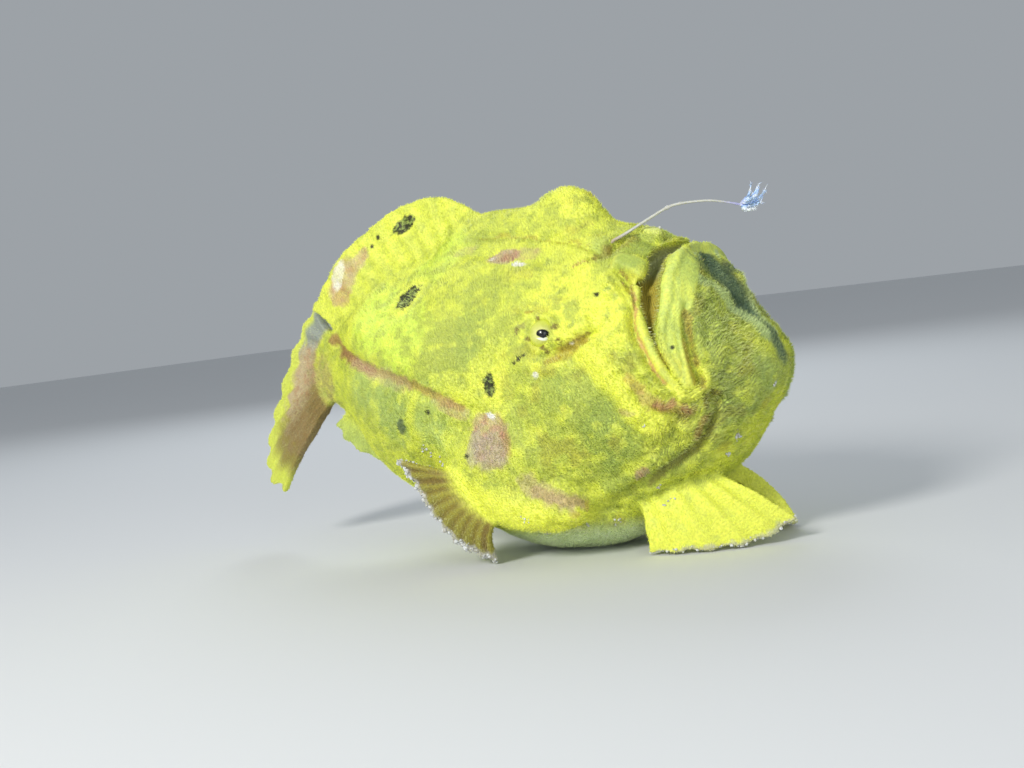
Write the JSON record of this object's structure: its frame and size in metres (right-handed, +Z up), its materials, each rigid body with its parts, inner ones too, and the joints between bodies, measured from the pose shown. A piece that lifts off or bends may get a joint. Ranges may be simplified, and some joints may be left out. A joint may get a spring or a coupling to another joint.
{
  "type": "longlure frogfish",
  "caption": "Life-size frogfish resting on its belly and fins, mouth turned up, with its rod and pale lure held out over the snout.",
  "frame": {"origin": "on the belly's resting flat, at floor level, under the front half of the body, on the middle plane", "axes": "+X towards the fish's snout, +Y to its left side, +Z up"},
  "size_m": [0.1234, 0.0497, 0.066],
  "materials": {
    "skin": "velvety, matt",
    "fin_web": "velvety, matt",
    "eye": "wet gloss",
    "rod": "satin",
    "tuft": "satin"
  },
  "bodies": {
    "root": {"head": "skin", "lower_jaw": "skin", "trunk": "skin", "tail_stalk": "skin", "third_dorsal_spine": "skin", "second_dorsal_spine": "skin", "pectoral_arm_left": "skin", "pectoral_arm_right": "skin", "dorsal_fin": "fin_web", "anal_fin": "fin_web", "caudal_fin": "fin_web", "pectoral_fin_left": "fin_web", "pectoral_fin_right": "fin_web", "pelvic_fin_left": "fin_web", "pelvic_fin_right": "fin_web", "eye_left": "eye", "eye_right": "eye", "illicium": "rod", "esca": "tuft"}
  },
  "joints": []
}
